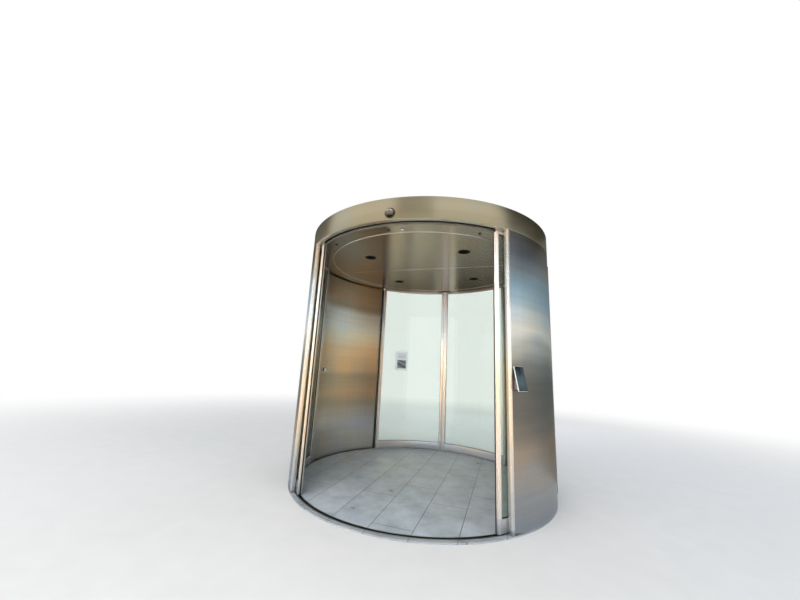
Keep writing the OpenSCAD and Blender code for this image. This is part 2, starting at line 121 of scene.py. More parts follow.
def light_panel(name, place, target, width, height, power, colour, beam=180):
    """A soft rectangular lamp that faces a target point. beam: its spread in degrees."""
    data = bpy.data.lights.new(name, "AREA")
    data.shape = "RECTANGLE"
    data.size = width
    data.size_y = height
    data.energy = power
    data.color = linear(colour)[:3]
    data.spread = math.radians(beam)
    lamp = bpy.data.objects.new(name, data)
    lamp.visible_camera = False
    lamp.visible_glossy = False
    lamp.visible_transmission = False
    aim = (Vector(target) - Vector(place)).to_track_quat("-Z", "Y").to_matrix().to_4x4()
    lamp.matrix_world = Matrix.Translation(place) @ aim
    bpy.context.scene.collection.objects.link(lamp)


light_panel("street_panel", (-2.0, -8.0, 5.0), (0, 0, 0.6), 9.0, 5.0, 640, "#fffaf2")
light_panel("doorway_panel", (0.4, -10.0, 2.2), (0, 1.3, 1.25), 2.4, 1.6, 27, "#fff3e6", 24)
light_panel("side_panel", (8.5, -3.5, 4.0), (0, 0, 1.2), 6.0, 5.0, 200, "#eef4ff")
light_panel("inner_panel", (0.5, 5.5, 3.0), (0, 0, 0.8), 5.0, 3.0, 70, "#f7f6ff")

# Cards
# Toned cards give the steel something to mirror: a dark one over the set, a tall one well in
# front, one on each side of the drum, and a broad one and a narrow striped one behind it.


def new_material(name):
    """An empty node material, its node tree and its Object coordinates."""
    material = bpy.data.materials.new(name)
    material.use_nodes = True
    tree = material.node_tree
    tree.nodes.clear()
    return material, tree, add(tree, "ShaderNodeTexCoord").outputs["Object"]


def set_stops(ramp, stops):
    """Gives a colour ramp its stops: (place from 0 to 1, colour)."""
    elements = ramp.color_ramp.elements
    while len(elements) < len(stops):
        elements.new(0.5)
    for element, (place, code) in zip(elements, stops):
        element.position = min(1, max(0, place))
        element.color = linear(code)


def studio_card(name, corner, along, up, stops, foot=1.0, head=1.0, full=1.0):
    """A toned studio card between a corner and two edges, with colour stops along it and a
    strength that runs from its foot to a share of its height. It shows only in what polished
    metal mirrors, also through glass, and it lights and shades nothing else."""
    bpy.ops.object.select_all(action="DESELECT")
    bpy.ops.mesh.primitive_plane_add(size=1, location=(0.5, 0.5, 0))
    bpy.ops.object.transform_apply(location=True, rotation=True, scale=True)
    card = bpy.context.active_object
    card.name = name
    edges = (along, up, Vector(along).cross(Vector(up)).normalized())
    card.data.transform(Matrix.Translation(corner) @ Matrix(edges).transposed().to_4x4())
    card.visible_camera = False
    card.visible_diffuse = False
    card.visible_shadow = False
    material, tree, where = new_material(name)
    share = add(tree, "ShaderNodeSeparateXYZ", {0: add(tree, "ShaderNodeUVMap").outputs[0]}).outputs
    tone = add(tree, "ShaderNodeValToRGB", {"Fac": share["X"]})
    set_stops(tone, stops)
    strength = add(tree, "ShaderNodeMapRange", {
        "Value": share["Y"], "From Max": full, "To Min": foot, "To Max": head})
    cloth = add(tree, "ShaderNodeEmission", {"Color": tone.outputs[0], "Strength": strength.outputs[0]})
    nothing = add(tree, "ShaderNodeBsdfTransparent")
    bounces = add(tree, "ShaderNodeLightPath").outputs["Glossy Depth"]
    mirrored = add(tree, "ShaderNodeMath", {0: bounces, 1: 0.5}, operation="GREATER_THAN")
    surface = add(tree, "ShaderNodeMixShader", {
        0: mirrored.outputs[0], 1: nothing.outputs[0], 2: cloth.outputs[0]})
    add(tree, "ShaderNodeOutputMaterial", {"Surface": surface.outputs[0]})
    card.data.materials.append(material)


studio_card("overhead_card", (-8.4, -1.15, 4.0), (16.8, 0, 0), (0, 9.1, 0), [
    (0, "#66655a"), (0.36, "#66655a"), (0.5, "#3a3a34"), (1, "#38382f")])
studio_card("street_card", (-3.0, -11.4, 5.5), (6.8, 0, 0), (0, 0, 7.0), [
    (0, "#8f9084"), (0.4, "#8a8b80"), (0.7, "#a6a08c"), (1, "#b9b29a")])
side_stops = [(0, "#6c716d"), (0.06, "#7c817d"), (0.2, "#a9ada9"), (0.34, "#bfc2be"), (0.8, "#ffffff")]
studio_card("right_card", (1.47, 0.5, 0), (7.2, 0, 0), (0, 0, 2.95), side_stops, 0.5, 1.0, 0.3)
studio_card("left_card", (-1.47, 0.5, 0), (-7.2, 0, 0), (0, 0, 2.95), side_stops, 0.5, 1.0, 0.3)
inner_card_x = -3.5
inner_card_w = 4.45
inner_stops = [
    (-3.5, "#454139"), (-2.95, "#4e4a40"), (-2.4, "#c4b89f"), (-2.0, "#d1c4aa"), (-1.6, "#a89f8d"),
    (-1.28, "#968f82"), (-1.0, "#a09889"), (-0.8, "#968f81"), (-0.55, "#8b8578"), (0.0, "#857f74"),
    (0.2, "#7b776d"), (0.34, "#807c72"), (0.7, "#75736c"), (0.84, "#65635c"), (0.95, "#74736d")]
studio_card("inner_card", (inner_card_x, 3.0, 0), (inner_card_w, 0, 0), (0, 0, 2.6), [
    ((x - inner_card_x) / inner_card_w, code) for x, code in inner_stops], 4.8, 0.15, 0.68)
studio_card("streak_card", (-0.56, 2.97, 0), (0.52, 0, 0), (0, 0, 2.6), [
    (0, "#8b8578"), (0.12, "#b1aa9c"), (0.4, "#bdb6a7"), (0.44, "#fdf3e2"), (0.6, "#fdf3e2"),
    (0.66, "#aaa395"), (0.72, "#f3ead9"), (0.86, "#f3ead9"), (0.94, "#8b8578")], 1.7, 0.5)

# Pale floor
# A plain matt studio floor, level with the underside of the drum. Far from the drum it
# fades into the white background.
floor_size = 60
floor_drop = 0.0005
fade_from = 3.0
fade_to = 11.0
bpy.ops.object.select_all(action="DESELECT")
bpy.ops.mesh.primitive_plane_add(size=floor_size, location=(0, 0, -floor_drop))
floor = bpy.context.active_object
floor.name = "studio_floor"
bpy.ops.object.transform_apply(location=True, rotation=True, scale=True)
material, tree, where = new_material("pale_floor")
distance = add(tree, "ShaderNodeVectorMath", {0: where}, operation="LENGTH").outputs["Value"]
fade = add(tree, "ShaderNodeMapRange", {"Value": distance, "From Min": fade_from, "From Max": fade_to},
           interpolation_type="SMOOTHSTEP")
mottle = add(tree, "ShaderNodeTexNoise", {"Vector": where, "Scale": 5.0, "Detail": 5.0}).outputs["Fac"]
tint = add(tree, "ShaderNodeMix", {0: mottle, 6: linear("#ccced0"), 7: linear("#d6d7d8")},
           data_type="RGBA")
matt = add(tree, "ShaderNodeBsdfPrincipled", {"Base Color": tint.outputs[2], "Roughness": 0.7})
white = add(tree, "ShaderNodeEmission", {"Color": (1, 1, 1, 1), "Strength": 1.0})
blend = add(tree, "ShaderNodeMath", {0: fade.outputs[0], 1: sees_backdrop(tree)}, operation="MULTIPLY")
surface = add(tree, "ShaderNodeMixShader", {0: blend.outputs[0], 1: matt.outputs[0], 2: white.outputs[0]})
add(tree, "ShaderNodeOutputMaterial", {"Surface": surface.outputs[0]})
floor.data.materials.append(material)

# Stone floor and rim
# Honed light grey limestone in strips along the way through, with narrow mortar joints. The
# sealed surface mirrors the doorway softly, and the rim outside is painted a darker tone as
# shade.


def dress(node, material):
    """Gives a CAD node its finish."""
    for place in frame["nodes"][node].material_slots:
        place.material = material


strip_w = 0.333
strip_l = 0.92
mortar_w = 0.004
mortar_deep = 0.0012
# The rim's darker strip colours are painted shade.
for node, finish, dark_strip, pale_strip in (
        ("floor_paving", "honed_grey_limestone", "#b9c4cd", "#c4cdd6"),
        ("floor_rim", "painted_shade_grey_limestone", "#a2a9b0", "#abb1b8")):
    material, stone, where = new_material(finish)
    turned = add(stone, "ShaderNodeMapping", {
        "Vector": where, "Rotation": (0, 0, math.radians(90)), "Location": (0.27, 0.06, 0)})
    joints = add(stone, "ShaderNodeTexBrick", {
        "Vector": turned.outputs[0], "Color1": linear(dark_strip), "Color2": linear(pale_strip),
        "Mortar": linear("#757c82"), "Scale": 1.0, "Mortar Size": mortar_w, "Mortar Smooth": 0.3,
        "Brick Width": strip_l, "Row Height": strip_w}, offset=0.37)
    clouds = add(stone, "ShaderNodeTexNoise", {
        "Vector": where, "Scale": 4.0, "Detail": 7.0, "Roughness": 0.66})
    grains = add(stone, "ShaderNodeTexNoise", {"Vector": where, "Scale": 120.0, "Detail": 3.0})
    cloud_tone = add(stone, "ShaderNodeValToRGB", {"Fac": clouds.outputs["Fac"]})
    set_stops(cloud_tone, [(0.3, "#bcc1c5"), (0.5, "#e2e4e5"), (0.72, "#ffffff")])
    toned = add(stone, "ShaderNodeMix", {
        0: 1.0, 6: joints.outputs["Color"], 7: cloud_tone.outputs["Color"]},
        data_type="RGBA", blend_type="MULTIPLY")
    speck = add(stone, "ShaderNodeMapRange", {
        "Value": grains.outputs["Fac"], "From Min": 0.3, "From Max": 0.7, "To Min": 0.93, "To Max": 1.05})
    stone_colour = add(stone, "ShaderNodeVectorMath", {0: toned.outputs[2], "Scale": speck.outputs[0]},
                       operation="SCALE")
    stone_gloss = add(stone, "ShaderNodeMapRange", {
        "Value": clouds.outputs["Fac"], "From Min": 0.3, "From Max": 0.7, "To Min": 0.26, "To Max": 0.42})
    joint_relief = add(stone, "ShaderNodeBump", {
        "Strength": 0.5, "Distance": mortar_deep, "Height": joints.outputs["Fac"]}, invert=True)
    honed = add(stone, "ShaderNodeBsdfPrincipled", {
        "Base Color": stone_colour.outputs[0], "Roughness": stone_gloss.outputs[0], "IOR": 1.55,
        "Normal": joint_relief.outputs[0]})
    add(stone, "ShaderNodeOutputMaterial", {"Surface": honed.outputs[0]})
    dress(node, material)

# Guide ring
# A machined steel ring let flush into the stone. The groove in it guides the shoes of the
# leaves and is painted darker towards its bottom as shade.


def brushed_steel(name, tones, marks, roughness, drift=0.1, ripple=0.35, anisotropy=0.8, metallic=1.0,
                  depth=0.12, shaded_front=None, streaks=0.0):
    """Stainless steel brushed by an abrasive belt.
    tones: (height in metres, colour) from the foot up. marks: "upright", "level" round the
    drum, or "sideways" along X. The real marks are 0.2 mm apart; they are drawn 2 mm apart,
    so that they show. drift: how far the tones wander in metres. ripple: how far the sheet
    is from flat. metallic: below 1 for ground bars, which scatter light widely. depth: how
    strongly the marks show. The front end argument, (from y, to y, share), darkens the front
    end of a sheet with painted shade. streaks: strength of faint level bands across upright marks."""
    material, tree, where = new_material(name)
    facing = add(tree, "ShaderNodeNewGeometry").outputs["Normal"]
    wander = add(tree, "ShaderNodeTexNoise", {"Vector": where, "Scale": 0.8, "Detail": 2.0}).outputs["Fac"]
    wander = add(tree, "ShaderNodeMapRange", {
        "Value": wander, "From Min": 0.3, "From Max": 0.7, "To Min": -drift, "To Max": drift})
    z = add(tree, "ShaderNodeSeparateXYZ", {0: where}).outputs["Z"]
    z = add(tree, "ShaderNodeMath", {0: z, 1: wander.outputs[0]}, operation="ADD")
    foot, head = tones[0][0], tones[-1][0]
    share = add(tree, "ShaderNodeMapRange", {"Value": z.outputs[0], "From Min": foot, "From Max": head})
    ramp = add(tree, "ShaderNodeValToRGB", {"Fac": share.outputs[0]})
    ramp.color_ramp.interpolation = "EASE"
    set_stops(ramp, [((height - foot) / (head - foot), code) for height, code in tones])
    lines = {"upright": (520, 520, 1.5), "level": (1.5, 1.5, 520), "sideways": (1.2, 420, 1.2)}[marks]
    stretched = add(tree, "ShaderNodeMapping", {"Vector": where, "Scale": lines})
    fine = add(tree, "ShaderNodeTexNoise", {
        "Vector": stretched.outputs[0], "Scale": 1.0, "Detail": 4.0, "Roughness": 0.65}).outputs["Fac"]
    broad = add(tree, "ShaderNodeTexNoise", {
        "Vector": stretched.outputs[0], "Scale": 0.12, "Detail": 2.0}).outputs["Fac"]
    fine_shade = add(tree, "ShaderNodeMapRange", {
        "Value": fine, "From Min": 0.25, "From Max": 0.75,
        "To Min": 1 - 0.58 * depth, "To Max": 1 + 0.42 * depth})
    broad_shade = add(tree, "ShaderNodeMapRange", {
        "Value": broad, "From Min": 0.3, "From Max": 0.7,
        "To Min": 1 - 0.3 * depth, "To Max": 1 + 0.3 * depth})
    shade = add(tree, "ShaderNodeMath", {0: fine_shade.outputs[0], 1: broad_shade.outputs[0]},
                operation="MULTIPLY")
    # Painted shade that darkens the front end of the sheet.
    if shaded_front:
        y = add(tree, "ShaderNodeSeparateXYZ", {0: where}).outputs["Y"]
        front_shade = add(tree, "ShaderNodeMapRange", {
            "Value": y, "From Min": shaded_front[0], "From Max": shaded_front[1], "To Min": shaded_front[2], "To Max": 1.0})
        shade = add(tree, "ShaderNodeMath", {
            0: shade.outputs[0], 1: front_shade.outputs[0]}, operation="MULTIPLY")
    if streaks:
        bands = add(tree, "ShaderNodeMapping", {"Vector": where, "Scale": (0.9, 0.9, 26)})
        bands = add(tree, "ShaderNodeTexNoise", {"Vector": bands.outputs[0], "Scale": 1.0, "Detail": 3.0})
        bands = add(tree, "ShaderNodeMapRange", {
            "Value": bands.outputs["Fac"], "From Min": 0.3, "From Max": 0.7,
            "To Min": 1 - streaks, "To Max": 1 + streaks})
        shade = add(tree, "ShaderNodeMath", {
            0: shade.outputs[0], 1: bands.outputs[0]}, operation="MULTIPLY")
    warm = add(tree, "ShaderNodeTexNoise", {"Vector": where, "Scale": 1.7, "Detail": 3.0}).outputs["Fac"]
    warm = add(tree, "ShaderNodeMapRange", {"Value": warm, "From Min": 0.35, "From Max": 0.65})
    tint = add(tree, "ShaderNodeMix", {0: warm.outputs[0], 6: linear("#f3f8ff"), 7: linear("#fff6ea")},
               data_type="RGBA")
    tinted = add(tree, "ShaderNodeMix", {0: 1.0, 6: ramp.outputs["Color"], 7: tint.outputs[2]},
                 data_type="RGBA", blend_type="MULTIPLY")
    colour = add(tree, "ShaderNodeVectorMath", {0: tinted.outputs[2], "Scale": shade.outputs[0]},
                 operation="SCALE")
    hands = add(tree, "ShaderNodeTexNoise", {
        "Vector": where, "Scale": 6.0, "Detail": 5.0, "Roughness": 0.7}).outputs["Fac"]
    handled = add(tree, "ShaderNodeMapRange", {
        "Value": hands, "From Min": 0.45, "From Max": 0.75, "To Min": 0.0, "To Max": depth / 3})
    rough = add(tree, "ShaderNodeMapRange", {
        "Value": fine, "To Min": roughness - depth / 2, "To Max": roughness + depth / 2})
    rough = add(tree, "ShaderNodeMath", {0: rough.outputs[0], 1: handled.outputs[0]}, operation="ADD")
    waves = add(tree, "ShaderNodeTexNoise", {"Vector": where, "Scale": 2.2, "Detail": 1.0}).outputs["Fac"]
    uneven = add(tree, "ShaderNodeBump", {"Strength": ripple, "Distance": 0.01, "Height": waves})
    relief = add(tree, "ShaderNodeBump", {
        "Strength": depth, "Distance": 0.0003, "Height": fine, "Normal": uneven.outputs[0]})
    if marks == "upright":
        across = add(tree, "ShaderNodeVectorMath", {0: facing, 1: (0, 0, 1)}, operation="CROSS_PRODUCT")
    else:
        along = add(tree, "ShaderNodeCombineXYZ", {"X": 1.0})
        if marks == "level":
            along = add(tree, "ShaderNodeVectorMath", {0: (0, 0, 1), 1: where}, operation="CROSS_PRODUCT")
        turned = add(tree, "ShaderNodeVectorTransform", {0: along.outputs[0]}, vector_type="VECTOR",
                     convert_from="OBJECT", convert_to="WORLD")
        across = add(tree, "ShaderNodeVectorMath", {0: turned.outputs[0], 1: facing},
                     operation="CROSS_PRODUCT")
    across = add(tree, "ShaderNodeVectorMath", {0: across.outputs[0], 1: (0.0003, 0.0002, 0.0001)},
                 operation="ADD")
    metal = add(tree, "ShaderNodeBsdfPrincipled", {
        "Base Color": colour.outputs[0], "Metallic": metallic, "Roughness": rough.outputs[0],
        "Anisotropic": anisotropy, "Tangent": across.outputs[0], "Normal": relief.outputs[0]})
    add(tree, "ShaderNodeOutputMaterial", {"Surface": metal.outputs[0]})
    return material


# Darker towards the bottom of the groove: painted shade.
ring_steel = brushed_steel("guide_ring_steel", [
    (0.0, "#303236"), (0.004, "#44474b"), (0.008, "#84878a"), (0.012, "#a9adb0")], "level", 0.3, 0.0, 0.1)
dress("floor_ring", ring_steel)

# Side walls
# Curved sandwich walls: 3 mm brushed stainless sheet on both faces of a rigid core. The
# brush marks stand upright, so what the sheet mirrors is drawn out level round the drum.
# The bands of tone up each sheet are painted reflections, and the darker foot of each sheet
# is painted shade.


def mottled(name, low_code, high_code, scale, roughness, metallic=0.0, detail=3.0):
    """A plain material whose colour and gloss vary a little in patches or grains. scale:
    patches in a metre."""
    material, tree, where = new_material(name)
    patches = add(tree, "ShaderNodeTexNoise", {"Vector": where, "Scale": scale, "Detail": detail})
    tone = add(tree, "ShaderNodeMix", {
        0: patches.outputs["Fac"], 6: linear(low_code), 7: linear(high_code)}, data_type="RGBA")
    gloss = add(tree, "ShaderNodeMapRange", {
        "Value": patches.outputs["Fac"], "To Min": roughness * 0.85, "To Max": roughness * 1.15})
    skin = add(tree, "ShaderNodeBsdfPrincipled", {
        "Base Color": tone.outputs[2], "Metallic": metallic, "Roughness": gloss.outputs[0]})
    add(tree, "ShaderNodeOutputMaterial", {"Surface": skin.outputs[0]})
    return material


# Outer sheet: painted reflections of sky, street and paving in bands up it, and painted shade at its foot.
outer_steel = brushed_steel("outer_wall_steel", [
    (0.012, "#5d6164"), (0.03, "#99a1a9"), (0.3, "#a3a7ac"), (0.42, "#b0aca6"), (0.62, "#b5a595"),
    (0.8, "#918c84"), (0.95, "#7d7e7b"), (1.12, "#787a77"), (1.25, "#8d8f8b"), (1.4, "#c6c7bf"),
    (1.52, "#f0f1ea"), (1.64, "#dce7ea"), (1.82, "#abcadb"), (1.97, "#9fbccd"), (2.1, "#a2adb4"),
    (2.26, "#8b8d8f"), (2.46, "#7c7b73")], "upright", 0.34, streaks=0.045)
# Inner sheet: painted reflections in bands up it, painted shade at its foot, and painted shade darkening
# its front end.
inner_steel = brushed_steel("inner_wall_steel", [
    (0.012, "#b4b4b4"), (0.03, "#e6e6e6"), (0.35, "#f2efeb"), (0.55, "#d8cabc"), (0.66, "#c8b69e"),
    (0.8, "#dcc0a0"), (1.0, "#cbb89c"), (1.15, "#f2d2ab"), (1.4, "#fcdcb6"), (1.6, "#fff3da"),
    (1.75, "#fffbf0"), (1.95, "#fffaf0"), (2.06, "#ccbca5"), (2.16, "#dac2a8"), (2.46, "#c6ae92")],
    "upright", 0.3, 0.03, shaded_front=(-0.1, 0.7, 0.7), streaks=0.045)
for side_name in ("left", "right"):
    dress(side_name + "_wall_outer_skin", outer_steel)
    dress(side_name + "_wall_inner_skin", inner_steel)
core_foam = mottled("rigid_insulation_board", "#cfcab8", "#e3dfd0", 180.0, 0.9)
dress("left_wall_core", core_foam)
dress("right_wall_core", core_foam)

# Sealant beads
# A thin bead of dark grey silicone closes the joint between each inner wall sheet and the
# stone under it.


def select_only(piece):
    """Selects one piece and makes it the active one."""
    bpy.ops.object.select_all(action="DESELECT")
    piece.select_set(True)
    bpy.context.view_layer.objects.active = piece


def body_of(node):
    """The name of the body that a CAD node belongs to."""
    bodies = frame["record"]["behaviour"]["bodies"]
    return next(body for body, nodes in bodies.items() if node in nodes)


def reach(node):
    """The lowest and highest radius, angle from the front and height of a CAD node."""
    points = [vertex.co for vertex in frame["nodes"][node].data.vertices]
    radii = [math.hypot(point.x, point.y) for point in points]
    angles = [math.degrees(math.atan2(point.x, -point.y)) % 360 for point in points]
    heights = [point.z for point in points]
    return [(min(row), max(row)) for row in (radii, angles, heights)]


def spun_bar(name, radius, foot, depth, tall, start, stop):
    """A bar of rectangular section bent round the Z axis, between two angles in degrees from
    the front. A rectangle is stood on edge and spun; 360 degrees give a closed ring."""
    turn = math.radians(start)
    place = (radius * math.sin(turn), -radius * math.cos(turn), foot + tall / 2)
    bpy.ops.object.select_all(action="DESELECT")
    upright = (math.pi / 2, 0, turn - math.pi / 2)
    bpy.ops.mesh.primitive_plane_add(size=1, location=place, rotation=upright)
    piece = bpy.context.active_object
    piece.name = name
    piece.scale = (depth, tall, 1)
    bpy.ops.object.transform_apply(location=True, rotation=True, scale=True)
    bpy.ops.object.mode_set(mode="EDIT")
    bpy.ops.mesh.select_all(action="SELECT")
    if stop - start >= 360:
        bpy.ops.mesh.delete(type="ONLY_FACE")
        bpy.ops.mesh.select_all(action="SELECT")
    # A spin turns clockwise here, where no window is open.
    bpy.ops.mesh.spin(steps=max(3, round((stop - start) / 1.5)), angle=-math.radians(stop - start),
                      center=(0, 0, 0), axis=(0, 0, 1))
    bpy.ops.mesh.select_all(action="SELECT")
    bpy.ops.mesh.remove_doubles(threshold=0.00002)
    bpy.ops.mesh.normals_make_consistent(inside=False)
    bpy.ops.object.mode_set(mode="OBJECT")
    return piece


def fit_out(piece, material, node, edge=0.0004):
    """Eases the edges of a new piece, gives it its finish and lets it ride with a node."""
    select_only(piece)
    bevel = piece.modifiers.new("eased_edges", "BEVEL")
    bevel.width = edge
    bevel.segments = 2
    bevel.limit_method = "ANGLE"
    bevel.angle_limit = math.radians(40)
    bevel.use_clamp_overlap = True
    bpy.ops.object.modifier_apply(modifier=bevel.name)
    bpy.ops.object.shade_smooth_by_angle(angle=math.radians(35))
    piece.data.materials.clear()
    piece.data.materials.append(material)
    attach(piece, body_of(node))
    return piece


bead_t = 0.0025
bead_h = 0.004
silicone = mottled("dark_silicone", "#2b2c2d", "#3a3b3b", 90.0, 0.5)
for side_name in ("left", "right"):
    node = side_name + "_wall_inner_skin"
    (wall_r, _), (wall_start, wall_stop), (wall_foot, _) = reach(node)
    bead = spun_bar(side_name + "_foot_bead", wall_r - bead_t / 2, wall_foot, bead_t, bead_h,
                    wall_start, wall_stop)
    fit_out(bead, silicone, node, 0.0008)

# End posts
# Folded stainless covers with a well rounded outer corner, brushed along their length, so
# they carry one bright line from floor to canopy. The bands of tone up them are painted
# reflections of street and sky, and their darker foot is painted shade.


def finished(node, material, edge=0.001, corner=30):
    """Copies a CAD node, joins its loose triangles, eases its sharp edges and replaces it."""
    piece = bpy.data.objects.new(node + "_finished", frame["nodes"][node].data.copy())
    bpy.context.scene.collection.objects.link(piece)
    select_only(piece)
    bpy.ops.mesh.customdata_custom_splitnormals_clear()
    bpy.ops.object.mode_set(mode="EDIT")
    bpy.ops.mesh.select_all(action="SELECT")
    bpy.ops.mesh.remove_doubles(threshold=0.00002)
    bpy.ops.mesh.dissolve_limited(angle_limit=math.radians(0.4))
    bpy.ops.object.mode_set(mode="OBJECT")
    bevel = piece.modifiers.new("eased_edges", "BEVEL")
    bevel.width = edge
    bevel.segments = 2
    bevel.limit_method = "ANGLE"
    bevel.angle_limit = math.radians(corner)
    bevel.use_clamp_overlap = True
    bpy.ops.object.modifier_apply(modifier=bevel.name)
    bpy.ops.object.shade_smooth_by_angle(angle=math.radians(corner + 8))
    piece.data.materials.clear()
    piece.data.materials.append(material)
    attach(piece, body_of(node))
    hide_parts(node)
    return piece


# Painted reflections in bands up the posts, and painted shade at their foot.
post_steel = brushed_steel("post_steel", [
    (0.012, "#8b8f92"), (0.05, "#c2c7cb"), (0.3, "#cdcfce"), (0.55, "#e2dace"), (0.8, "#f2e1cf"),
    (1.1, "#f3e6d3"), (1.4, "#fbf7ee"), (1.7, "#f3f8fb"), (2.0, "#e6ebee"), (2.2, "#d1cfc6"),
    (2.4, "#d8c9b4"), (2.46, "#d2c0a8")], "upright", 0.26, 0.1, 0.0, 0.7, 0.75, 0.02)
for place in ("front_left", "front_right", "back_left", "back_right"):
    finished(place + "_post", post_steel, 0.0006, 25)

# Fascia
# Two half rings of folded stainless sheet in a warm champagne tone, brushed level, with a
# lip underneath that turns up beside the slot and a narrow cover strip over each joint. A
# pale band along the foot of the sheet is a painted highlight on the lip's fold.


def drawn_bar(name, place, rotation, width, depth, way):
    """A straight bar: a rectangle about a place, turned, and extruded along a way."""
    bpy.ops.object.select_all(action="DESELECT")
    bpy.ops.mesh.primitive_plane_add(size=1, location=place, rotation=rotation)
    piece = bpy.context.active_object
    piece.name = name
    piece.scale = (width, depth, 1)
    bpy.ops.object.transform_apply(location=True, rotation=True, scale=True)
    bpy.ops.object.mode_set(mode="EDIT")
    bpy.ops.mesh.select_all(action="SELECT")
    bpy.ops.mesh.extrude_region_move(TRANSFORM_OT_translate={"value": way})
    bpy.ops.mesh.select_all(action="SELECT")
    bpy.ops.mesh.normals_make_consistent(inside=False)
    bpy.ops.object.mode_set(mode="OBJECT")
    return piece


def joined(name, pieces):
    """Joins pieces into one."""
    bpy.ops.object.select_all(action="DESELECT")
    for piece in pieces:
        piece.select_set(True)
    bpy.context.view_layer.objects.active = pieces[0]
    bpy.ops.object.join()
    pieces[0].name = name
    return pieces[0]


(_, fascia_r), _, (fascia_foot, fascia_head) = reach("front_fascia")
# The pale band at the foot of the sheet is a painted highlight on the fold of the lip.
fascia_steel = brushed_steel("fascia_steel", [
    (fascia_foot, "#f2ecdf"), (fascia_foot + 0.001, "#e4dccb"), (fascia_foot + 0.0028, "#a9a28b"),
    (2.5, "#b1aa92"), (2.6, "#bab39b"), (fascia_head - 0.006, "#b5ae97"), (fascia_head, "#cfc8b2")],
    "level", 0.3, 0.0)
for place in ("front", "back"):
    finished(place + "_fascia", fascia_steel, 0.0008)
cover_w = 0.022
cover_t = 0.0012
cover_short = 0.006
covers = [
    drawn_bar("cover", (turn * (fascia_r + cover_t / 2), 0, fascia_foot + cover_short), (0, 0, 0),
              cover_t, cover_w, (0, 0, fascia_head - fascia_foot - 2 * cover_short))
    for turn in (-1, 1)]
fit_out(joined("fascia_joint_covers", covers), fascia_steel, "front_fascia")

# Canopy
# The galvanised ring beam and deck, the aluminium track and the dark sheet on top carry the
# ceiling and the leaves. The sheet is held by hex screws and has one lapped seam. Zinc gives
# the steel a cool mottled shine, and the coated sheet stays dull.


def round_button(name, radius, tall, dish, sides=40):
    """A round button that stands on the origin along Z, its top inset and sunk by a dish."""
    bpy.ops.object.select_all(action="DESELECT")
    bpy.ops.mesh.primitive_cylinder_add(
        vertices=sides, radius=radius, depth=tall, location=(0, 0, tall / 2))
    piece = bpy.context.active_object
    piece.name = name
    bpy.ops.object.transform_apply(location=True, rotation=True, scale=True)
    for face in piece.data.polygons:
        face.select = face.normal.z > 0.9
    bpy.ops.object.mode_set(mode="EDIT")
    bpy.ops.mesh.select_mode(type="FACE")
    bpy.ops.mesh.inset(thickness=radius * 0.35)
    bpy.ops.mesh.extrude_region_move(TRANSFORM_OT_translate={"value": (0, 0, -dish)})
    bpy.ops.object.mode_set(mode="OBJECT")
    return piece


def copies(piece, name, matrices):
    """Copies a piece to each of the places, each with its own mesh, and joins the copies."""
    made = []
    for matrix in matrices:
        copy = bpy.data.objects.new(name, piece.data.copy())
        copy.data.transform(matrix)
        bpy.context.scene.collection.objects.link(copy)
        made.append(copy)
    bpy.data.objects.remove(piece)
    return joined(name, made)


dress("canopy_frame", mottled("galvanised_steel", "#8f979c", "#aab1b5", 45.0, 0.42, 1.0, 1.0))
material, tree, where = new_material("mill_aluminium")
stretched = add(tree, "ShaderNodeMapping", {"Vector": where, "Scale": (2, 2, 500)})
drawn = add(tree, "ShaderNodeTexNoise", {"Vector": stretched.outputs[0], "Scale": 1.0, "Detail": 3.0})
tone = add(tree, "ShaderNodeMix", {0: drawn.outputs["Fac"], 6: linear("#a9acae"), 7: linear("#c2c4c6")},
           data_type="RGBA")
aluminium = add(tree, "ShaderNodeBsdfPrincipled", {
    "Base Color": tone.outputs[2], "Metallic": 1.0, "Roughness": 0.36})
add(tree, "ShaderNodeOutputMaterial", {"Surface": aluminium.outputs[0]})
dress("overhead_track", material)

roof_coat = mottled("dark_coated_roof_sheet", "#26282a", "#4a4b4a", 3.0, 0.55, 0.0, 7.0)
dress("roof_lid", roof_coat)
_, _, (_, lid_top) = reach("roof_lid")
seam_short = 0.03
seam_l = 2 * (fascia_r - seam_short)
seam_w = 0.04
seam_t = 0.0016
seam = drawn_bar("roof_seam", (-seam_l / 2, 0, lid_top + seam_t / 2), (0, math.pi / 2, 0),
                 seam_t, seam_w, (seam_l, 0, 0))
fit_out(seam, roof_coat, "roof_lid")
screw_inset = 0.045
screw_ring = fascia_r - screw_inset
screw = round_button("roof_screw", 0.005, 0.0028, 0.0014, 6)
spots = [Matrix.Rotation(math.radians(a), 4, "Z") @ Matrix.Translation((0, screw_ring, lid_top))
         for a in range(0, 360, 15)]
screw_zinc = mottled("zinc_plated_screw", "#8d9296", "#a7acb0", 400.0, 0.35, 1.0)
fit_out(copies(screw, "roof_screws", spots), screw_zinc, "roof_lid", 0.0002)

# Ceiling
# An outer ring and two half pans of stainless sheet, brushed from side to side, so the
# doorway is mirrored in long soft streaks along the way through.
ceiling_steel = brushed_steel("ceiling_steel", [(2.43, "#b0a69b"), (2.47, "#b0a69b")], "sideways", 0.22,
                              0.0, 0.03, depth=0.03)
for node in ("ceiling_ring", "front_ceiling", "back_ceiling"):
    dress(node, ceiling_steel)

